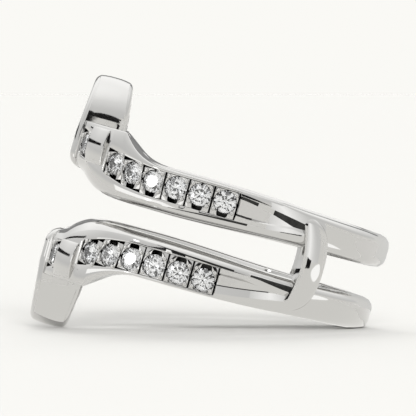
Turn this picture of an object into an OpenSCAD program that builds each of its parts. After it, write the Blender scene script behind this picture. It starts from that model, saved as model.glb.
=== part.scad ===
// Ring guard enhancer: two stone-set bands that stand either side of a solitaire ring, each with
// a plain arch at its head, soldered together by two bridge bars that pass over the solitaire's band.
// It lies on its side as it would on a table: the head is at -X, the back of the shank at +X, and
// the origin is on the surface, under the middle of the part. Every piece is drawn in the ring's own
// frame, whose Z is the finger axis, and is then laid down. All sizes are in millimetres.

/* [Hoops] */
// Diameter of the finger hole, US ring size 7
finger_d = 17.35; // [16.5:0.05:18]
// Thickness of the metal at the head
head_t = 3.19; // [2.8:0.01:3.6]
// Thickness of the metal at the back of the shank
back_t = 1.46; // [1.2:0.01:2]
// Gap between the two hoops at the back of the shank
shank_gap = 2; // [1.4:0.1:2.6]
// Width of each hoop at the back of the shank
shank_w = 2.1; // [1.8:0.05:2.4]
// Rounding of the hoops' outer edges at the back of the shank
shank_round = 0.4; // [0.2:0.05:0.6]

/* [Stone bands] */
// Rounding of the bands' outer corner at the head
head_round = 0.6; // [0.3:0.05:0.8]
// Narrowest gap between the two bands, beside the finger
waist_gap = 1.4; // [0.8:0.1:1.8]
// Gap between the two bands at the head, where a solitaire's setting stands
head_gap = 4.2; // [3.6:0.1:4.6]
// Width of the whole guard across both bands, beside the finger
side_w = 7.1; // [7:0.1:7.8]
// Width of the whole guard across both shoulders
shoulder_w = 10.5; // [10:0.1:11.4]

/* [Arches] */
// Width of the whole guard from the tip of one arch to the tip of the other
tip_w = 17.1; // [16:0.1:18]
// Width of an arch, seen from the front
arch_w = 5.8; // [5.2:0.1:6]
// Width of the metal that forms the arch
arch_metal = 1.3; // [1:0.05:1.5]
// Thickness of an arch at its tip
tip_t = 2.2; // [1.6:0.05:2.4]
// How far the outside of an arch draws in between the head and its tip
tip_draw_in = 0.6; // [0.2:0.05:1]
// Height below the shoulder's edge at which the outside starts to draw in
draw_in_from = 0.8; // [0.4:0.1:1.2]
// Rounding of an arch's outer corner, seen from the side
tip_round = 0.5; // [0.2:0.05:0.7]
// Rounding of an arch's inner corner, seen from the side
heel_round = 0.55; // [0.3:0.05:0.8]

/* [Bridge bars] */
// Width of the whole guard across the ends of the bridge bars
bar_span = 6.7; // [6.5:0.1:7]
// Angle from the head to the middle of a bridge bar
bar_at = 123; // [120:0.5:130]
// Width of a bridge bar half way between the hoops
bar_w = 1.8; // [1.4:0.1:2.2]
// Thickness of a bridge bar
bar_t = 0.75; // [0.55:0.05:0.9]
// Height of a bridge bar's face above the hoops
bar_rise = 0.36; // [0.2:0.02:0.45]
// How much narrower a bridge bar is at its ends
bar_pinch = 0.6; // [0.3:0.05:0.8]

/* [Shoulder bars] */
// Angle from the head to the middle of a shoulder bar
block_at = 32.2; // [31.5:0.1:33]
// Width of a shoulder bar along the band
block_w = 1.95; // [1.6:0.05:2]
// Length of a shoulder bar across the band
block_l = 2.3; // [1.8:0.1:2.5]
// Height of a shoulder bar above the band
block_rise = 0.25; // [0.1:0.05:0.4]

/* [Stones] */
// Diameter of a stone
stone_d = 1.5; // [1.3:0.05:1.54]
// Number of stones in the row behind a shoulder bar
row_stones = 6; // [3:1:7]
// Angle from the head to the first stone of that row
row_from = 43.5; // [43:0.1:45]
// Space between the edges of two stones in the row
stone_space = 0.23; // [0.15:0.01:0.25]
// Angle from the head to the single stone between the arch and the shoulder bar
head_stone_at = 21.4; // [21:0.1:22]
// Distance of the row's stones from the guard's middle plane
row_z = 2.65; // [2.55:0.01:2.68]
// Distance of the single stone from the guard's middle plane
head_stone_z = 3.8; // [3.5:0.05:4]
// Space between a stone and its seat
seat_gap = 0.03; // [0.02:0.005:0.05]
// Depth of the square bright-cut cell round a stone
cell_depth = 0.12; // [0.05:0.01:0.2]
// Length of the pointed bright cut that ends the row
point_l = 3.6; // [2.5:0.1:4]
// Depth of the pointed bright cut
point_depth = 0.3; // [0.2:0.02:0.4]

/* [Hidden] */
$fn = 96;
finger_r = finger_d / 2;
// The outside of the hoops is a round too, shifted toward the head
outer_r = (finger_d + head_t + back_t) / 2;
head_shift = (head_t - back_t) / 2;
head_x = -outer_r - head_shift;
back_x = outer_r - head_shift;
// Where the stone bands end and the rounded backs of the hoops begin
join_x = outer_r * 0.39;
join_overlap = 0.4;
// Reach of the solids that only cut or bound others
far = 3 * outer_r;
// Parts that are soldered together run this far into each other
solder = 0.5;
// A hair's breadth, which keeps an outline off the round that it closes on
hair = 0.01;
// Cuts into the outside start this far above it
above = head_t;
edge_steps = 8;

// Half widths, measured from the middle plane between the two bands
shank_in = shank_gap / 2;
shank_out = shank_in + shank_w;
bar_out = bar_span / 2;
waist_in = waist_gap / 2;
head_in = head_gap / 2;
side_out = side_w / 2;
shoulder_out = shoulder_w / 2;
tip_out = tip_w / 2;

// A polygon's corner replaced by an arc of the given radius
function unit(v) = v / norm(v);
function corner(before, at, after, r) =
    let (
        u = unit(before - at),
        v = unit(after - at),
        half = acos(u * v) / 2,
        middle = at + unit(u + v) * r / sin(half),
        a = at + u * r / tan(half) - middle,
        b = at + v * r / tan(half) - middle
    )
    [for (i = [0 : edge_steps]) middle + r * unit(a * (1 - i / edge_steps) + b * i / edge_steps)];
function corner_middle(before, at, after, r) =
    let (u = unit(before - at), v = unit(after - at)) at + unit(u + v) * r / sin(acos(u * v) / 2);

// Places along the ring, seen from the side, as shares of the outer radius
waist_x = -0.45 * outer_r;
head_rise_end = -0.98 * outer_r;
shoulder_rise_end = -0.78 * outer_r;

// The gap-side edge rises slowly from the waist and steeply at the head
function head_in_z(x) = waist_in + (head_in - waist_in) * pow((waist_x - x) / (waist_x - head_rise_end), 6);
// Between the waist and the back it swells in a smooth step
function back_in_z(x) =
    let (t = (x - waist_x) / (join_x - waist_x)) waist_in + (shank_in - waist_in) * t * t * (3 - 2 * t);
// The outer edge keeps its width along the side, draws in toward the back and flares into the shoulder
function back_out_z(x) = side_out - (side_out - bar_out) * pow((x - waist_x) / (join_x - waist_x), 3);
function shoulder_z(x) =
    side_out + (shoulder_out - side_out) * pow((waist_x - x) / (waist_x - shoulder_rise_end), 2.6);
function along(from, to, steps) = [for (i = [0 : steps]) from + (to - from) * i / steps];

// One band's outline, seen from the side
band_outline = concat(
    [[join_x + join_overlap, shank_in]],
    [for (x = along(join_x, waist_x, edge_steps)) [x, back_in_z(x)]],
    [for (x = along(waist_x, head_rise_end, 2 * edge_steps)) if (x < waist_x) [x, head_in_z(x)]],
    corner([head_rise_end, head_in], [head_x, head_in], [head_x, shoulder_out], head_round),
    [[head_x, shoulder_out]],
    [for (x = along(shoulder_rise_end, waist_x, edge_steps)) [x, shoulder_z(x)]],
    [for (x = along(waist_x, join_x, edge_steps)) if (x > waist_x) [x, back_out_z(x)]],
    [[join_x + join_overlap, bar_out]]
);
// The back half of one hoop, seen from the side, which narrows toward the back
back_end = back_x + hair;
back_outline = concat(
    [[0, bar_out], [0, shank_in], [back_end, shank_in]],
    corner([back_end, shank_in], [back_end, shank_out], [join_x, bar_out], shank_round),
    [[join_x, bar_out]]
);

// One arch's outline, seen from the side: straight down from the head, then drawn in to the tip
arch_bend_z = shoulder_out - draw_in_from;
tip_outer = [head_x + tip_draw_in, tip_out];
tip_inner = [head_x + tip_draw_in + tip_t, tip_out];
arch_bend = [head_x, arch_bend_z];
arch_root = [-finger_r, shoulder_out];
arch_side = concat(
    corner([-finger_r, head_in], [head_x, head_in], arch_bend, head_round),
    [arch_bend],
    corner(arch_bend, tip_outer, tip_inner, tip_round),
    corner(tip_outer, tip_inner, arch_root, heel_round),
    [arch_root, [-finger_r + solder, arch_bend_z], [-finger_r + solder, head_in]]
);

// How the guard lies: on the inner corner of its lower arch and the lower outer edge of its back
tip_rest = corner_middle(tip_outer, tip_inner, arch_root, heel_round);
back_rest = corner_middle([back_end, shank_in], [back_end, shank_out], [join_x, bar_out], shank_round);
rest_run = back_rest.x - tip_rest.x;
rest_drop = tip_rest.y - back_rest.y;
lie_tilt = atan2(rest_drop, rest_run)
    - asin((shank_round - heel_round) / norm([rest_run, rest_drop]));
rest_z = back_rest.x * sin(lie_tilt) + back_rest.y * cos(lie_tilt) + shank_round;
// The two ends of the guard as it lies, which the origin stands between
tip_end = corner_middle(arch_bend, tip_outer, tip_inner, tip_round);
lie_left = tip_end.x * cos(lie_tilt) - tip_end.y * sin(lie_tilt) - tip_round;
lie_right = back_rest.x * cos(lie_tilt) + back_rest.y * sin(lie_tilt) + shank_round;
rest_x = (lie_left + lie_right) / 2;

// Stones: where each stands on its band, counted from the head
stone_r = stone_d / 2;
stone_step = (stone_d + stone_space) / outer_r * 180 / PI;
function stone_at(i) = i == 1 ? head_stone_at : row_from + (i - 2) * stone_step;
row_rise_from = 62;
function stone_z(i) =
    row_z + (head_stone_z - row_z)
        * pow(max(0, row_rise_from - stone_at(i)) / (row_rise_from - head_stone_at), 1.35);
row_end = stone_at(row_stones + 1) + stone_step / 2;

// Proportions of a round brilliant, as shares of its diameter
table_share = 0.56;
crown_share = 0.15;
girdle_share = 0.03;
pavilion_share = 0.43;
// The table stands a little proud of the band
table_proud = 0.06;
girdle_top = table_proud - crown_share * stone_d;
culet = girdle_top - (girdle_share + pavilion_share) * stone_d;

BANDS = ["upper", "lower"];
SIDES = ["near", "far"];
STONES = [for (b = BANDS) for (s = SIDES) for (i = [1 : row_stones + 1]) [b, s, i]];
function stone_name(s) = str("stone_", s[0], "_", s[1], "_", s[2]);

// Placing
module laid() translate([-rest_x, 0, rest_z]) rotate([0, lie_tilt, 0]) children();
module both_bands() {
    children();
    mirror([0, 0, 1]) children();
}
module both_sides() {
    children();
    mirror([0, 1, 0]) children();
}
// On the outside of a hoop's near half: +X points out, +Y toward the back, +Z along the finger axis
module on_round(angle, z = 0) translate([-head_shift, 0, z]) rotate(180 + angle) translate([outer_r, 0, 0]) children();

// Solids that the pieces are cut from
module finger_hole() cylinder(r = finger_r, h = far, center = true);
module outer_round(more = 0) translate([-head_shift, 0, 0]) cylinder(r = outer_r + more, h = far, center = true);
module side_view(outline) rotate([90, 0, 0]) linear_extrude(far, center = true) polygon(outline);
module radial(from, to, outline) translate([from, 0, 0]) rotate([90, 0, 90]) linear_extrude(to - from) polygon(outline);

// The rounded back of the upper hoop
module hoop_back() {
    profile = concat(
        [[finger_r / 2, shank_in]],
        corner([finger_r / 2, shank_in], [outer_r, shank_in], [outer_r, bar_out], shank_round),
        corner([outer_r, shank_in], [outer_r, bar_out], [finger_r / 2, bar_out], shank_round),
        [[finger_r / 2, bar_out]]
    );
    intersection() {
        translate([-head_shift, 0, 0]) rotate_extrude() polygon(profile);
        side_view(back_outline);
        translate([join_x, -far / 2, 0]) cube([far, far, far]);
    }
}

// The stone-set front of the upper band, up to the arch
module stone_band() {
    gap_y = arch_w - 2 * solder;
    difference() {
        intersection() {
            outer_round();
            side_view(band_outline);
        }
        translate([-far, -gap_y / 2, 0]) cube([far, gap_y, far]);
    }
}

// The plain arch at the head of the upper band, open toward the gap
module arch() {
    spring_z = tip_out - arch_w / 2;
    window_w = arch_w - 2 * arch_metal;
    intersection() {
        outer_round();
        side_view(arch_side);
        rotate([0, -90, 0]) difference() {
            union() {
                translate([spring_z, 0, 0]) cylinder(d = arch_w, h = far);
                translate([0, -arch_w / 2, 0]) cube([spring_z, arch_w, far]);
            }
            translate([spring_z, 0, 0]) cylinder(d = window_w, h = far);
            translate([0, -window_w / 2, 0]) cube([spring_z, window_w, far]);
        }
    }
}

// A raised polished bar between the single stone and the row
module shoulder_bar() {
    on_round(block_at, head_stone_z)
        translate([-solder, -block_w / 2, -block_l / 2]) cube([solder + block_rise, block_w, block_l]);
}

// A bridge bar, from the upper band to the lower
module bridge_bar() {
    end_z = bar_out;
    end_y = bar_w / 2 - bar_pinch;
    edge = [for (z = along(-end_z + bar_pinch, end_z - bar_pinch, edge_steps))
        [bar_w / 2 - bar_pinch * pow(z / (end_z - bar_pinch), 2), z]];
    outline = concat([[-bar_w / 2, -end_z], [end_y - bar_pinch, -end_z]], edge,
        [[end_y - bar_pinch, end_z], [-bar_w / 2, end_z]]);
    intersection() {
        on_round(bar_at) radial(-2 * bar_t, 2 * bar_t, outline);
        difference() {
            outer_round(bar_rise);
            outer_round(bar_rise - bar_t);
        }
    }
}

// A stone's seat: a round pocket over a cone
module seat() {
    r = stone_r + seat_gap;
    girdle_low = girdle_top - girdle_share * stone_d;
    rotate([0, 90, 0]) rotate_extrude()
        polygon([[0, culet - 2 * seat_gap], [r, girdle_low - seat_gap], [r, above], [0, above]]);
}

// The square bright-cut cell round a stone
module cell() {
    w = stone_d + stone_space / 2;
    translate([-cell_depth, -w / 2, -w / 2]) cube([above, w, w]);
}

// The pointed bright cut that ends the upper near row
module point_cut() {
    w = stone_d / 2;
    middle = row_end + point_l / 2 / outer_r * 180 / PI;
    tip_z = row_z - w * 0.7;
    on_round(middle)
        radial(-point_depth, above, [[-point_l / 2, row_z - w], [point_l / 2, tip_z], [-point_l / 2, row_z + w]]);
}

// All the soldered metal
module guard() color("silver") laid() difference() {
    union() {
        both_bands() {
            hoop_back();
            stone_band();
            arch();
            both_sides() shoulder_bar();
        }
        both_sides() bridge_bar();
    }
    finger_hole();
    both_bands() both_sides() {
        for (i = [1 : row_stones + 1]) on_round(stone_at(i), stone_z(i)) {
            seat();
            cell();
        }
        point_cut();
    }
}

// A round brilliant, table up, with its girdle's top at z = 0
module brilliant(d) {
    crown = crown_share * d;
    girdle = girdle_share * d;
    pavilion = pavilion_share * d;
    table_r = table_share * d / 2;
    star_r = 0.4 * d;
    lower_r = 0.12 * d;
    // Heights that keep each kite facet flat
    star_z = crown * (d / 2 - star_r * cos(22.5)) / (d / 2 - table_r);
    lower_z = -girdle - pavilion * (1 - lower_r * cos(22.5) / (d / 2));
    function ring(r, z, n, turn) = [for (i = [0 : n - 1]) [r * cos(turn + i * 360 / n), r * sin(turn + i * 360 / n), z]];
    points = concat(
        ring(table_r, crown, 8, 0),
        ring(star_r, star_z, 8, 22.5),
        ring(d / 2, 0, 16, 0),
        ring(d / 2, -girdle, 16, 0),
        ring(lower_r, lower_z, 8, 22.5),
        [[0, 0, -girdle - pavilion]]
    );
    // Where each ring of points starts in the list
    table = 0;
    star = 8;
    top = 16;
    low = 32;
    lower = 48;
    tip = 56;
    faces = concat(
        [[for (i = [7 : -1 : 0]) table + i]],
        [for (i = [0 : 7]) let (j = (i + 1) % 8) [table + i, table + j, star + i]],
        [for (i = [0 : 7]) let (j = (i + 7) % 8) [table + i, star + i, top + 2 * i, star + j]],
        [for (i = [0 : 7]) [star + i, top + 2 * i + 1, top + 2 * i]],
        [for (i = [0 : 7]) [star + i, top + (2 * i + 2) % 16, top + 2 * i + 1]],
        [for (i = [0 : 15]) let (j = (i + 1) % 16) [top + i, top + j, low + j, low + i]],
        [for (i = [0 : 7]) [lower + i, low + 2 * i, low + 2 * i + 1]],
        [for (i = [0 : 7]) [lower + i, low + 2 * i + 1, low + (2 * i + 2) % 16]],
        [for (i = [0 : 7]) let (j = (i + 7) % 8) [tip, lower + j, low + 2 * i, lower + i]]
    );
    polyhedron(points, faces);
}

// One stone in its seat
module stone(s) color("white") laid()
    mirror([0, 0, s[0] == "lower" ? 1 : 0])
        mirror([0, s[1] == "far" ? 1 : 0, 0])
            on_round(stone_at(s[2]), stone_z(s[2]))
                translate([girdle_top, 0, 0]) rotate([0, 90, 0]) brilliant(stone_d);

guard();
for (s = STONES) stone(s);
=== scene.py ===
"""A ring guard enhancer in polished white gold, lying on its side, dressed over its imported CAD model."""
import math

import bmesh
import bpy
from mathutils import Matrix, Vector


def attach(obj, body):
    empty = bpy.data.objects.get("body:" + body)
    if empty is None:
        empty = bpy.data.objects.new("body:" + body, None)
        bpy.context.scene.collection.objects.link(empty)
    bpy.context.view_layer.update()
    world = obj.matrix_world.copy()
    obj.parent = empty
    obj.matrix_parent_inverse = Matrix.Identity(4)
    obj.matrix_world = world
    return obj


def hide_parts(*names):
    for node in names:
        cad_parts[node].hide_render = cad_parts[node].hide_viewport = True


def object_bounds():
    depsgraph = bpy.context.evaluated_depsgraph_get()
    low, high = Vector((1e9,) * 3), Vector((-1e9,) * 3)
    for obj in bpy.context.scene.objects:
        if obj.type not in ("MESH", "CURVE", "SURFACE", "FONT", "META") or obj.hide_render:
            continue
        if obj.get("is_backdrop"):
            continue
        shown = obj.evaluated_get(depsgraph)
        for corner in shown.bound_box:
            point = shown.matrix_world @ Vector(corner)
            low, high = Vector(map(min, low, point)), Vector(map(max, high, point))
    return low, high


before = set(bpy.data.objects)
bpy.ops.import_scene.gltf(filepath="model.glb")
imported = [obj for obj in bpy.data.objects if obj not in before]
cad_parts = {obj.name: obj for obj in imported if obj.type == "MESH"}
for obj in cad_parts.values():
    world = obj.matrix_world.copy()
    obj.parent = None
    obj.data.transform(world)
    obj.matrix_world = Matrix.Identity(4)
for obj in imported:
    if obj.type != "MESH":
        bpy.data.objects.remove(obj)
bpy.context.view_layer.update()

# Hoops: two cast white gold hoops round the finger, whose front halves are the stone-set bands.
# Each is milled round an outside that stands off centre toward the head, hollowed along the row of
# stones, and cut to a bright leaf-shaped point behind the last stone.

# Pieces are drawn in millimetres round the finger hole: x runs from the head to the back, and z
# along the finger, with the gap between the hoops at z = 0
finger_r = 8.675
outer_r = 11.0
head_shift = 0.865
# The band swells toward the head before waist_x, and is a plain hoop behind join_x
waist_x = -4.95
join_x = 4.29
# Degrees round a hoop run from 0 at the head to 180 at the back. The hollow has one part for the
# single stone and one for the row, and the bright cut goes on from the row's end
single_from, single_to = 17.3, 25.5
row_from, row_to = 39, 93.3
cut_to = 121
cut_from_x = -0.23
hollow_d = 0.95
reach_out = 0.82
inner_edge = 0.14
# Lays a drawn piece on the table, in metres
hole_centre = (0.00129691, 0, 0.00565837)
ring_lean = 15.7398
laid = (Matrix.Translation(hole_centre)
        @ Matrix.Rotation(math.radians(ring_lean), 4, "Y") @ Matrix.Scale(0.001, 4))
# Where a piece has two finishes, the second is the near-black one of painted shade and painted dark
# reflections
dark = 1


def new_finish(name, settings):
    finish = bpy.data.materials.new(name)
    finish.use_nodes = True
    for socket, value in settings.items():
        finish.node_tree.nodes["Principled BSDF"].inputs[socket].default_value = value
    return finish


# A colour ramp, from pairs of a place and a colour
def add_ramp(nodes, tones):
    ramp = nodes.new("ShaderNodeValToRGB")
    first, last = ramp.color_ramp.elements
    first.position, first.color = tones[0]
    last.position, last.color = tones[-1]
    for spot, color in tones[1:-1]:
        ramp.color_ramp.elements.new(spot).color = color
    return ramp


# Mirror polish with a faint haze and the hairlines of the polishing wheel
white_gold = new_finish("polished_white_gold", {"Base Color": (0.61, 0.605, 0.595, 1), "Metallic": 1})
nodes = white_gold.node_tree.nodes
links = white_gold.node_tree.links
shader = nodes["Principled BSDF"]
place = nodes.new("ShaderNodeTexCoord")
haze = nodes.new("ShaderNodeTexNoise")
haze.inputs["Scale"].default_value = 900
haze.inputs["Detail"].default_value = 4
gloss = nodes.new("ShaderNodeMapRange")
gloss.inputs["From Min"].default_value = 0.35
gloss.inputs["From Max"].default_value = 0.7
gloss.inputs["To Min"].default_value = 0.03
gloss.inputs["To Max"].default_value = 0.09
links.new(place.outputs["Object"], haze.inputs["Vector"])
links.new(haze.outputs["Fac"], gloss.inputs["Value"])
links.new(gloss.outputs["Result"], shader.inputs["Roughness"])
hairlines = nodes.new("ShaderNodeTexNoise")
hairlines.inputs["Scale"].default_value = 5200
hairlines.inputs["Detail"].default_value = 2
polish = nodes.new("ShaderNodeBump")
polish.inputs["Strength"].default_value = 0.012
polish.inputs["Distance"].default_value = 0.00002
links.new(place.outputs["Object"], hairlines.inputs["Vector"])
links.new(hairlines.outputs["Fac"], polish.inputs["Height"])
links.new(polish.outputs["Normal"], shader.inputs["Normal"])

# Painted shade and painted dark reflections: a near-black, grainy metal put on the deep hollows' floors
# and as thin lines along rails, cuts and rims
painted_shade = new_finish("painted_shade_and_dark_reflections", {"Metallic": 1, "Roughness": 0.32})
nodes = painted_shade.node_tree.nodes
links = painted_shade.node_tree.links
place = nodes.new("ShaderNodeTexCoord")
grain = nodes.new("ShaderNodeTexNoise")
grain.inputs["Scale"].default_value = 2500
grain.inputs["Detail"].default_value = 5
shade = add_ramp(nodes, ((0, (0.008, 0.008, 0.008, 1)), (1, (0.07, 0.07, 0.068, 1))))
links.new(place.outputs["Object"], grain.inputs["Vector"])
links.new(grain.outputs["Fac"], shade.inputs["Fac"])
links.new(shade.outputs["Color"], nodes["Principled BSDF"].inputs["Base Color"])


# The z of the hoop's side toward the gap, and of its outer side
def edge_to_gap(x):
    if x < waist_x:
        return 0.8 + 1.3 * min(1, (waist_x - x) / 5.83) ** 6
    t = min(1, (x - waist_x) / (join_x - waist_x))
    return 0.8 + 0.26 * t * t * (3 - 2 * t)


def edge_outside(x):
    if x < waist_x:
        return 3.67 + 1.61 * min(1, (waist_x - x) / 3.63) ** 3.1
    if x < join_x:
        return 3.67 - 0.22 * ((x - waist_x) / (join_x - waist_x)) ** 3
    return 3.45 - 0.23 * (x - join_x) / 5.845


# The z of the stones' middles
def row_line(angle):
    return 2.65 + 1.15 * (max(0, 62 - angle) / 40.6) ** 1.35


def hollow_depth(angle):
    if single_from < angle < single_to or row_from < angle < row_to:
        return hollow_d
    if row_to < angle < cut_to:
        return 0.15 - 0.05 * min(1, (angle - row_to) / 19.7)
    return 0


# How far the hollow reaches from the stones' middles toward the gap
def reach_to_gap(angle):
    return 1.02 - 0.15 * max(0, (50 - angle) / 10) if row_from < angle < row_to else 0.82


# A point on the hoop's round outside, or so far above it, where the back is a little thicker
def on_hoop(angle, height, z):
    a = math.radians(angle)
    height += 0.13 * max(0, (angle - 135) / 45) if height > -1 else 0
    r = outer_r + height
    return Vector((-head_shift - r * math.cos(a), -r * math.sin(a), z))


# The hoop's section has numbered corners. 0 and 1 are its inner edge at the gap, 2 to 5 and 16 the
# rounded rail there, 6 to 9 the hollow, 10 to 13 the outer rail, and 14 and 15 its other inner edge
def rim_corner(k, angle):
    a = math.radians(angle)
    hole_r = math.sqrt(finger_r ** 2 - (head_shift * math.sin(a)) ** 2) - head_shift * math.cos(a)
    inside = hole_r - outer_r
    back = min(1, max(0, (angle - 108) / 50)) ** 0.7
    head = min(1, max(0, (58 - angle) / 20))
    x = on_hoop(angle, 0, 0).x
    rail = 0.11 * min(1, max(0, (x + 6.5) / 4)) * min(1, max(0, (4.4 - x) / 3.6))
    # The strip between corners 5 and 16 carries a painted dark reflection line along parts of the rail
    strip = min(0.13, max(0, (x + 5.2) / 34)) + 0.36 * min(1, max(0, (x - 1.8) / 2.6)) ** 1.5
    front_shape = {
        2: (-0.6, 0),
        3: (-0.38 + 0.08 * head, 0.12),
        4: (-0.16 + 0.06 * head, 0.25 + 0.08 * head),
        5: (-0.01, 0.42 + 0.2 * head + rail),
        16: (-0.005, 0.43 + 0.2 * head + rail + strip),
        10: (0, 0.07),
        11: (-0.015, 0.04),
        12: (-0.03, 0.02),
        13: (-0.09, 0),
    }
    back_shape = {
        2: (-0.7, 0),
        3: (-0.35, 0.09),
        4: (-0.09, 0.35),
        5: (0, 0.7),
        16: (0, 0.85),
        10: (0, 0.7),
        11: (-0.09, 0.35),
        12: (-0.35, 0.09),
        13: (-0.7, 0),
    }
    if k in front_shape:
        height = front_shape[k][0] * (1 - back) + back_shape[k][0] * back
        off = front_shape[k][1] * (1 - back) + back_shape[k][1] * back
    elif k in (0, 15):
        height, off = inside, inner_edge
    else:
        height, off = inside + inner_edge, 0
    x = on_hoop(angle, height, 0).x
    return on_hoop(angle, height, edge_outside(x) - off if 10 <= k <= 15 else edge_to_gap(x) + off)


# The hollow along the stones
def cell_corner(k, angle):
    line = row_line(angle)
    depth = hollow_depth(angle)
    toward_gap = reach_to_gap(angle)
    return on_hoop(angle, *{
        6: (0, line - toward_gap),
        7: (-depth, line - toward_gap + 0.04),
        8: (-depth, line + reach_out - 0.04),
        9: (0, line + reach_out),
    }[k])


# The bright cut behind the last stone, whose two sides close to a point
def cut_corner(k, angle):
    x = on_hoop(angle, 0, 0).x
    depth = hollow_depth(angle)
    t = min(1, (x - cut_from_x) / 3.84)
    floor_low = 2.1 - 0.2 * t * (1 - t) + 0.13 * t ** 3
    wall_top = 3.3 - 0.69 * min(1, (x - cut_from_x) / 4.7) ** 1.25 - 0.02 * max(0, x - 4.47)
    floor_high = max(floor_low + 0.01, wall_top - 0.2 - 0.3 * t ** 2)
    return on_hoop(angle, *{
        6: (0, floor_low - 0.13 - 0.11 * min(1.2, max(0, x - 3.6))),
        7: (-depth, floor_low),
        8: (-depth, floor_high),
        9: (0, wall_top),
    }[k])


def hoop_corner(k, angle):
    if k < 6 or k > 9:
        return rim_corner(k, angle)
    return cut_corner(k, angle) if angle > row_to else cell_corner(k, angle)


def round_edges(bm, edges, offset, segments, clamp, material=-1):
    return bmesh.ops.bevel(bm, geom=edges, offset=offset, offset_type="OFFSET", segments=segments,
                           profile=0.5, affect="EDGES", material=material, clamp_overlap=clamp)["faces"]


def mirrored(bm, axis, merge=0.0005):
    bmesh.ops.mirror(bm, geom=bm.verts[:] + bm.edges[:] + bm.faces[:], merge_dist=merge, axis=axis)


def put_in_scene(bm, name, *finishes):
    mesh = bpy.data.meshes.new(name)
    bm.to_mesh(mesh)
    bm.free()
    for finish in finishes:
        mesh.materials.append(finish)
    made = bpy.data.objects.new(name, mesh)
    bpy.context.scene.collection.objects.link(made)
    return made


def make_piece(bm, name, *finishes):
    bmesh.ops.recalc_face_normals(bm, faces=bm.faces[:])
    bmesh.ops.transform(bm, matrix=laid, verts=bm.verts[:])
    for face in bm.faces:
        face.smooth = True
    piece = put_in_scene(bm, name, *finishes)
    piece.modifiers.new("even_facets", "WEIGHTED_NORMAL").keep_sharp = True
    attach(piece, "root")
    return piece


# The degrees that the section stops at, close together where the hollow begins or ends
stops = [12.6 + i * 1.175 for i in range(5)]
stops += [17.25, 17.4, 18.7, 20, 21.4, 22.8, 24.1, 25.4, 25.55]
stops += [27 + i * 1.5 for i in range(8)] + [38.9, 39.1]
stops += [40 + i * 0.9 for i in range(59)] + [93.2, 93.4]
stops += [94 + i * 1.0 for i in range(19)] + [113]
stops += [114.5 + i * 1.5 for i in range(44)] + [180]
bm = bmesh.new()
corner = bm.verts.layers.int.new("corner")
section = []
for k in (0, 1, 2, 3, 4, 5, 16, 6, 7, 8, 9, 10, 11, 12, 13, 14, 15):
    v = bm.verts.new((-1, 0, k * 0.1))
    v[corner] = k
    section.append(v)
rim = [bm.edges.new((section[i - 1], section[i])) for i in range(len(section))]
# The section is spun in even steps, and each step then moves to its own stop
spun = 170
bmesh.ops.spin(bm, geom=section + rim, cent=(0, 0, 0), axis=(0, 0, 1),
               angle=math.radians(spun), steps=len(stops) - 1, use_merge=False)
for v in bm.verts:
    turned = math.degrees(math.atan2(-v.co.y, -v.co.x)) % 360
    v.co = hoop_corner(v[corner], stops[round(turned / spun * (len(stops) - 1))])
head_end = [e for e in bm.edges if e.is_boundary and e.verts[0].co.x < 0 and e.verts[0].co.y > -2.45]
bmesh.ops.contextual_create(bm, geom=head_end)
# Painted shade: the floors of the deep hollows under the stones take the near-black finish
for face in bm.faces:
    low = min(math.hypot(v.co.x + head_shift, v.co.y) for v in face.verts)
    if low < outer_r - 0.9 and {v[corner] for v in face.verts} <= {6, 7, 8, 9}:
        face.material_index = dark
bmesh.ops.recalc_face_normals(bm, faces=bm.faces[:])
bm.normal_update()
softened = []
for e in bm.edges:
    k, other = (v[corner] for v in e.verts)
    x = min(v.co.x for v in e.verts)
    if k == other and (k == 2 or k in (6, 9) and x < -0.5):
        softened.append(e)
round_edges(bm, softened, 0.04, 2, False)
# The bright cut's lines stay sharp
for e in bm.edges:
    k, other = (v[corner] for v in e.verts)
    x = min(v.co.x for v in e.verts)
    e.smooth = k != other or not (k in (7, 8) and x < 5.4 or k in (6, 9) and -0.3 < x < 4.6)
mirrored(bm, "Y")
mirrored(bm, "Z")
# Painted dark reflection lines along the rails and in the bright cuts, which differ between the two hoops:
# these faces take the near-black finish
for face in bm.faces:
    x, upper = face.calc_center_median().x, face.calc_center_median().z > 0
    corners = {v[corner] for v in face.verts}
    if corners == {5, 16} and (-4.7 < x < 0.6 or (not upper and 1.8 < x < 4.6)):
        face.material_index = dark
    if corners == {8, 9} and upper and (cut_from_x < x < 1.0 or 2.2 < x < 4.6):
        face.material_index = dark
# The lower hoop's bright cut has a broader wall, with a painted dark reflection line along its foot
for v in bm.verts:
    if v[corner] == 8 and v.co.z < 0 and -0.4 < v.co.x < 3.6:
        v.co.z += 0.34 * (1 - ((v.co.x + 0.4) / 4) ** 2)
foot = [e for e in bm.edges
        if all(v[corner] == 8 and v.co.z < 0 and -0.3 < v.co.x < 5.3 for v in e.verts)]
bm.normal_update()
for face in round_edges(bm, foot, 0.035, 1, False, dark):
    if face.calc_center_median().x > 3.3:
        face.material_index = 0
hoops = make_piece(bm, "hoops", white_gold, painted_shade)
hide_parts("guard")

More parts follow.
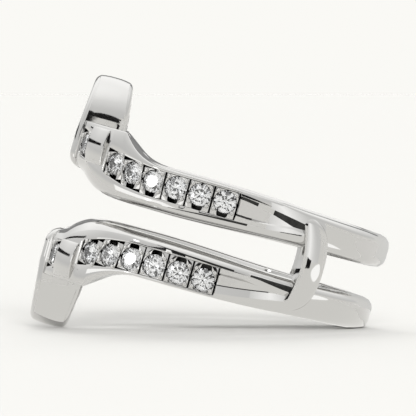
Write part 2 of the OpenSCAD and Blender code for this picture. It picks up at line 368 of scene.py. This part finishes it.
# Cells: each stone stands in a square cell of the band's own metal, cut free of the next one by a
# saw cut. Four posts are left at its corners, with a dark scallop between the two on the side of the
# gap, and each post is pushed over the stone's edge as a round bead.
single_stone = 21.4
row = [single_stone] + [43.5 + i * 9.01106 for i in range(6)]
seat_r = 0.77
half_cell = 0.797
bm = bmesh.new()
for angle in row:
    rise_of_row = row_line(angle - 2) - row_line(angle + 2)
    lean = math.degrees(math.atan2(rise_of_row, math.radians(4) * outer_r))
    seat = (Matrix.Translation(on_hoop(angle, 0, row_line(angle)))
            @ Matrix.Rotation(math.radians(180 + angle), 4, "Z")
            @ Matrix.Rotation(math.radians(lean), 4, "X"))
    # The reach of the posts, half the notch between them, and their direction from the stone
    gap_side = (0.82 if angle == single_stone else 1.02, 0.34, -1)
    outer_side = (0.8, 0.14, 1)
    for side in (-1, 1):
        for reach, notch, out in (gap_side, outer_side):
            plan = [(half_cell, 0.08), (half_cell, reach), (notch - 0.1, reach), (notch, reach - 0.06)]
            first = math.acos((notch + 0.06) / seat_r)
            for i in range(7):
                t = first - i * (first - 0.1) / 6
                plan.append((seat_r * math.cos(t), seat_r * math.sin(t)))
            top = bm.faces.new([bm.verts.new((-0.02 - 0.25 * max(0, z - 0.8), side * u, out * z))
                                for u, z in plan])
            grown = bmesh.ops.extrude_face_region(bm, geom=[top])["geom"]
            low = [v for v in grown if isinstance(v, bmesh.types.BMVert)]
            bmesh.ops.translate(bm, vec=(-0.6, 0, 0), verts=low)
            post = list({v for f in low[0].link_faces for v in f.verts} | set(low) | set(top.verts))
            bmesh.ops.transform(bm, matrix=seat, verts=post)
            bm.normal_update()
            round_edges(bm, list(top.edges), 0.035, 2, True)
            bead = bmesh.ops.create_uvsphere(bm, u_segments=12, v_segments=8, radius=0.15)["verts"]
            spot = Matrix.Translation((-0.02, side * 0.62, out * 0.61))
            bmesh.ops.transform(bm, matrix=seat @ spot, verts=bead)
mirrored(bm, "Y", 0)
mirrored(bm, "Z", 0)
make_piece(bm, "cells", white_gold)

# Stones: 28 round brilliant-cut diamonds of 1.5 mm, set table outward, whose facets are the CAD's
# own. They are clear, with the high refraction of diamond and no colour.
diamond = new_finish("brilliant_cut_diamond", {"Base Color": (0.97, 0.98, 1, 1), "Roughness": 0,
                                               "IOR": 2.2, "Transmission Weight": 1})
for name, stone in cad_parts.items():
    if name.startswith("stone"):
        stone.data.materials.clear()
        stone.data.materials.append(diamond)

# Arches: at its head each band rises into a plain polished arch, open toward the gap, that stands
# round the solitaire's setting. It is 1.3 mm thick, and draws in a little toward its tip.
spring = 5.65
arch_in = 1.6
arch_out = 2.9


# The x of an arch's point, from 0 at the finger hole to 1 at the head's face
def arch_x(front, y, z):
    foot = 1 - math.sqrt(1 - min(0.97, max(0, 3.1 - z)) ** 2)
    face = -11.98 + 0.1 * max(0, z - 4.45) + 0.08 * (y / arch_out) ** 2 + foot
    back = -finger_r - 0.39 * max(0, z - 5.25) / 3.3
    return back + (face - back) * front


bm = bmesh.new()
front = bm.verts.layers.float.new("front")
section = [(1, -arch_in), (0, -arch_in)]
for part in (0, 0.1, 0.22, 0.35, 0.5, 0.65, 0.78, 0.9, 1):
    section.append((part, -arch_out + 0.17 * abs(2 * part - 1) ** 2.6))
ring = []
for part, y in section:
    v = bm.verts.new((0, y, spring))
    v[front] = part
    ring.append(v)
bmesh.ops.spin(bm, geom=[bm.faces.new(ring)], cent=(0, 0, spring), axis=(1, 0, 0),
               angle=-math.pi, steps=40, use_merge=False)
ends = [f for f in bm.faces if all(abs(v.co.z - spring) < 1e-4 for v in f.verts)]
for foot_z in (4.45, 3.2, 2.95, 2.75, 2.6, 2.45, 2.35, 2.25, 2.18, 2.13):
    grown = bmesh.ops.extrude_face_region(bm, geom=ends)["geom"]
    bmesh.ops.delete(bm, geom=ends, context="FACES")
    ends = [f for f in grown if isinstance(f, bmesh.types.BMFace)]
    for v in {v for f in ends for v in f.verts}:
        v.co.z = foot_z
for v in bm.verts:
    v.co.x = arch_x(v[front], v.co.y, v.co.z)
bmesh.ops.recalc_face_normals(bm, faces=bm.faces[:])
bm.normal_update()
outer_rim = [e for e in bm.edges if e.is_manifold and e.calc_face_angle() > math.radians(30)
             and all(math.hypot(v.co.y, max(0, v.co.z - spring)) > 2.6 for v in e.verts)
             and max(v.co.z for v in e.verts) > 2.15]
rounded = set(round_edges(bm, outer_rim, 0.34, 5, False))
bm.normal_update()
# Painted dark reflection line: a thin bevel where the rounded rim meets the arch's plain sides takes the
# near-black finish
rim_line = []
for e in bm.edges:
    plain = [f for f in e.link_faces if f not in rounded]
    if len(e.link_faces) == 2 and len(plain) == 1 and abs(plain[0].normal.x) < 0.3:
        rim_line.append(e)
round_edges(bm, rim_line, 0.03, 1, False, dark)
bm.normal_update()
inner_rim = [e for e in bm.edges if e.is_manifold and e.calc_face_angle() > math.radians(60)
             and not any(f.material_index for f in e.link_faces)]
round_edges(bm, inner_rim, 0.12, 3, True)
mirrored(bm, "Z", 0)
make_piece(bm, "arches", white_gold, painted_shade)

# Shoulder bars: a raised bar soldered across each shoulder between the single stone and the row,
# with a crowned, polished face.
shoulder_at = 31.4
bm = bmesh.new()
block = bmesh.ops.create_cube(bm, size=1)["verts"]
bmesh.ops.scale(bm, vec=(0.75, 2.1, 2.45), verts=block)
across = [e for e in bm.edges if abs(e.verts[0].co.z - e.verts[1].co.z) > 1]
bmesh.ops.subdivide_edges(bm, edges=across, cuts=11, use_grid_fill=True)
for v in bm.verts:
    if v.co.x > 0:
        v.co.x -= 0.18 * (v.co.z / 1.22) ** 2
bm.normal_update()
edges = [e for e in bm.edges if e.calc_face_angle() > math.radians(50)]
round_edges(bm, edges, 0.07, 3, True)
for v in bm.verts:
    v.co = on_hoop(shoulder_at + math.degrees(v.co.y / outer_r), v.co.x - 0.125, 3.88 + v.co.z)
mirrored(bm, "Y", 0)
mirrored(bm, "Z", 0)
make_piece(bm, "shoulder_bars", white_gold)

# Bridge bars: a crowned bar on each side is soldered to both hoops, and passes over the gap that
# the solitaire's band lies in. Its edge toward the back bulges.
bridge_at = 123
half_bar = 3.33
bm = bmesh.new()
bmesh.ops.create_grid(bm, x_segments=16, y_segments=48, size=0.5)
for v in bm.verts:
    z = half_bar * math.sin(math.pi * v.co.y)
    low_x = 4.85 - 0.42 * min(1, abs(z) / 2.6) ** 2
    high_x = max(low_x + 0.3, 4.5 + 1.85 * math.sqrt(max(0, 1 - abs(z / half_bar) ** 3)))
    x = low_x + (high_x - low_x) * (v.co.x + 0.5)
    turn = 180 - math.degrees(math.acos((x + head_shift) / 11.2))
    crown = 0.38 - 0.3 * (z / half_bar) ** 2 - 0.3 * (max(0, abs(z) - 2.7) / 0.63) ** 2
    crown -= 0.2 * abs(2 * v.co.x) ** 2.6
    v.co = Vector((crown, math.radians(turn - bridge_at) * outer_r, z))
grown = bmesh.ops.extrude_face_region(bm, geom=bm.faces[:])["geom"]
for v in grown:
    if isinstance(v, bmesh.types.BMVert):
        v.co.x = -0.39
bmesh.ops.recalc_face_normals(bm, faces=bm.faces[:])
bm.normal_update()
edges = [e for e in bm.edges if e.is_manifold and e.calc_face_angle() > math.radians(50)]
rounded = set(round_edges(bm, edges, 0.13, 4, True))
bm.normal_update()
# Painted shade line: a thin bevel along the crowned face's edge on the side toward the back takes the
# near-black finish
rim_line = []
for e in bm.edges:
    plain = [f for f in e.link_faces if f not in rounded]
    if len(plain) == 1 and plain[0].normal.x > 0.5 and plain[0].calc_center_median().y > 0.1:
        rim_line.append(e)
round_edges(bm, rim_line, 0.025, 1, True, dark)
for v in bm.verts:
    v.co = on_hoop(bridge_at + math.degrees(v.co.y / outer_r), v.co.x, v.co.z)
mirrored(bm, "Y", 0)
make_piece(bm, "bridge_bars", white_gold, painted_shade)

# Floor: a plain pale studio floor, matt, that runs far past the view.
floor_finish = new_finish("pale_floor", {"Base Color": (0.3276, 0.3246, 0.3148, 1), "Roughness": 1,
                                         "Specular IOR Level": 0})
bm = bmesh.new()
bmesh.ops.create_circle(bm, cap_ends=True, radius=30, segments=64)
put_in_scene(bm, "floor", floor_finish)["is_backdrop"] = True

# Light: a soft white room that is brighter above than at the horizon, and a little more so on the
# far side, and two soft lamps that light the floor and don't show in the metal.
world = bpy.data.worlds.new("soft_room")
bpy.context.scene.world = world
world.use_nodes = True
nodes = world.node_tree.nodes
links = world.node_tree.links
look = nodes.new("ShaderNodeTexCoord")
split = nodes.new("ShaderNodeSeparateXYZ")
links.new(look.outputs["Generated"], split.inputs["Vector"])


# The room's light from the horizon up, from pairs of a height and a tone
def wall_light(horizon, heights):
    tones = [(horizon, (0.955, 0.947, 0.913, 1))]
    tones += [(height, (tone, tone, tone * 0.99, 1)) for height, tone in heights]
    wall = add_ramp(nodes, tones + [(1, (1.42, 1.42, 1.41, 1))])
    links.new(split.outputs["Z"], wall.inputs["Fac"])
    return wall


near_wall = wall_light(0.06, ((0.15, 0.8), (0.45, 0.86), (0.75, 1.08), (0.92, 1.34)))
far_wall = wall_light(0.07, ((0.16, 0.8), (0.34, 1.0), (0.6, 1.4)))
far_side = nodes.new("ShaderNodeMapRange")
far_side.inputs["From Min"].default_value = -0.1
far_side.inputs["From Max"].default_value = 0.5
both = nodes.new("ShaderNodeMixRGB")
links.new(split.outputs["Y"], far_side.inputs["Value"])
links.new(far_side.outputs["Result"], both.inputs["Fac"])
links.new(near_wall.outputs["Color"], both.inputs["Color1"])
links.new(far_wall.outputs["Color"], both.inputs["Color2"])
links.new(both.outputs["Color"], nodes["Background"].inputs["Color"])
for name, power, spread, height, turn in (("front_light", 14, 18, 78, 3),
                                          ("back_light", 10, 26, 75, 184)):
    lamp = bpy.data.lights.new(name, "SUN")
    lamp.energy = power
    lamp.angle = math.radians(spread)
    light = bpy.data.objects.new(name, lamp)
    light.rotation_euler = (math.radians(height), 0, math.radians(turn))
    light.visible_glossy = False
    light.visible_transmission = False
    bpy.context.scene.collection.objects.link(light)

# Flags: black cards that the camera doesn't see. One runs round the front, a little above the ring's
# middle plane, and gives the metal its thin dark lines. The others stand overhead for the stones
# alone, and give them their dark facets.
black = new_finish("black_card", {"Base Color": (0.005, 0.005, 0.005, 1), "Specular IOR Level": 0})
middle = (0.0013, 0, 0.0057)
card_lean = 15.74


# Hangs a card that is drawn round the origin: it is leant, and moved to its centre
def hang(bm, name, finish, centre, lean):
    turn = Matrix.Rotation(math.radians(lean), 4, "Y")
    bmesh.ops.transform(bm, verts=bm.verts[:], matrix=Matrix.Translation(centre) @ turn)
    card = put_in_scene(bm, name, finish)
    card.visible_camera = False
    card.visible_diffuse = False
    card.visible_shadow = False
    card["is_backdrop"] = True
    return card


# Degrees round the ring, from the photo's side toward the back
def turn_of(v):
    return math.degrees(math.atan2(v.co.x, -v.co.y))


bm = bmesh.new()
bmesh.ops.create_circle(bm, cap_ends=False, radius=0.25, segments=96)
raised = bmesh.ops.extrude_edge_only(bm, edges=bm.edges[:])["geom"]
for v in bm.verts:
    nearness = math.exp(-(turn_of(v) / 25) ** 2)
    v.co.z = 0.018 + 0.054 * nearness if v in raised else 0.006 + 0.004 * nearness
left_out = [v for v in bm.verts if v.co.y > 0.18 or -100 < turn_of(v) < -62]
bmesh.ops.delete(bm, geom=left_out, context="VERTS")
hang(bm, "flag_round_the_front", black, middle, card_lean)

bm = bmesh.new()
bmesh.ops.create_uvsphere(bm, u_segments=30, v_segments=16, radius=0.28)
gone = []
for face in bm.faces:
    spot = face.calc_center_median()
    slice_of_dome = int(math.degrees(math.atan2(spot.y, spot.x)) % 360 / 12)
    if spot.z < 0.04 or slice_of_dome % 2 != 0:
        gone.append(face)
bmesh.ops.delete(bm, geom=gone, context="FACES")
hang(bm, "flags_overhead", black, middle, 0).visible_glossy = False

# Cards: white, graded, gray and black cards that only the metal and the stones see. They give the
# bridge bar its gradient and its marks, the rims their gray lines, the hoops' backs their dim tone
# and the underside its light, and two small lamps flash in the third stones.
beside_bar = (0.00669, -0.0095, 0.00414)
flash_turns = (-48.4, -45.9)


def glowing(name, strength, color=(1, 1, 0.99, 1)):
    return new_finish(name, {"Base Color": (0, 0, 0, 1), "Specular IOR Level": 0,
                             "Emission Color": color, "Emission Strength": strength})


# A card whose tone changes between two values of x
def faded(name, from_x, to_x, tones):
    finish = glowing(name, 1)
    nodes = finish.node_tree.nodes
    links = finish.node_tree.links
    place = nodes.new("ShaderNodeTexCoord")
    split = nodes.new("ShaderNodeSeparateXYZ")
    spread = nodes.new("ShaderNodeMapRange")
    spread.inputs["From Min"].default_value = from_x
    spread.inputs["From Max"].default_value = to_x
    fade = add_ramp(nodes, tones)
    links.new(place.outputs["Object"], split.inputs["Vector"])
    links.new(split.outputs["X"], spread.inputs["Value"])
    links.new(spread.outputs["Result"], fade.inputs["Fac"])
    links.new(fade.outputs["Color"], nodes["Principled BSDF"].inputs["Emission Color"])
    return finish


# A curved card round a point, from one turn to another, counted in degrees from the photo's side
# toward the back. Its ends are drawn in where drawn is more than 0.
def put_card(name, finish, centre, radius, turns, heights, lean, drawn=0):
    bm = bmesh.new()
    mid = (heights[0] + heights[1]) / 2
    edges = []
    for z in heights:
        edges.append([])
        for i in range(13):
            t = math.radians(turns[0] + (turns[1] - turns[0]) * i / 12)
            narrowed = max(0.05, math.sin(math.pi * i / 12)) ** drawn
            spot = (radius * math.sin(t), -radius * math.cos(t), mid + (z - mid) * narrowed)
            edges[-1].append(bm.verts.new(spot))
    low, high = edges
    for i in range(12):
        bm.faces.new((low[i], low[i + 1], high[i + 1], high[i]))
    hang(bm, name, finish, centre, lean)


white = glowing("white_card", 1.5)
gray = glowing("gray_card", 0.3)
spark = glowing("lamp", 9)
graded = faded("graded_card", 0.0075, 0.0155,
               ((0, (0.93, 0.93, 0.92, 1)), (0.5, (1.4, 1.4, 1.39, 1)), (1, (0.85, 0.85, 0.84, 1))))
dim = faded("dim_card", 0.011, 0.02, ((0, (0.58, 0.58, 0.565, 1)), (1, (0.93, 0.925, 0.9, 1))))
put_card("flag_behind", gray, middle, 0.5, (158, 202), (0.055, 0.24), 0)
put_card("lamp_in_the_upper_stone", spark, middle, 0.028, flash_turns, (0.00195, 0.00295), card_lean)
put_card("lamp_in_the_lower_stone", spark, middle, 0.028, flash_turns, (-0.0035, -0.0025), card_lean)
put_card("dim_behind_the_back", dim, middle, 0.02, (108, 178), (-0.0056, 0.0045), 0)
put_card("graded_by_the_bar", graded, beside_bar, 0.009, (5, 80), (0.0005, 0.007), card_lean)
put_card("black_mark", black, beside_bar, 0.0088, (24, 52), (-0.0003, 0.0006), card_lean)
put_card("white_mark", white, beside_bar, 0.009, (66, 106), (-0.0017, 0.0005), card_lean, 0.6)
put_card("white_under_the_front", white, middle, 0.03, (-75, -25), (-0.0052, -0.0013), card_lean)
bm = bmesh.new()
bmesh.ops.create_grid(bm, x_segments=2, y_segments=2, size=0.5)
bmesh.ops.scale(bm, vec=(0.09, 0.04, 1), verts=bm.verts[:])
floor_card = glowing("floor_card", 1, (0.95, 0.942, 0.908, 1))
hang(bm, "card_on_the_floor", floor_card, (0.02, -0.0212, 0.0001), 0).visible_transmission = False

# Camera: a long lens 0.65 m from the guard's side, raised by 0.7 degrees so that the floor is seen.
away = 0.65
rise = math.radians(0.7)
lens = bpy.data.cameras.new("camera")
lens.lens = 842.7
lens.sensor_width = 36
lens.clip_start = 0.01
lens.clip_end = 100
camera = bpy.data.objects.new("camera", lens)
camera.location = (-0.000203, -away * math.cos(rise), 0.00798 + away * math.sin(rise))
camera.rotation_euler = (math.radians(90) - rise, 0, 0)
bpy.context.scene.collection.objects.link(camera)
bpy.context.scene.camera = camera
bpy.context.scene.view_settings.view_transform = "Standard"

low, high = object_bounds()
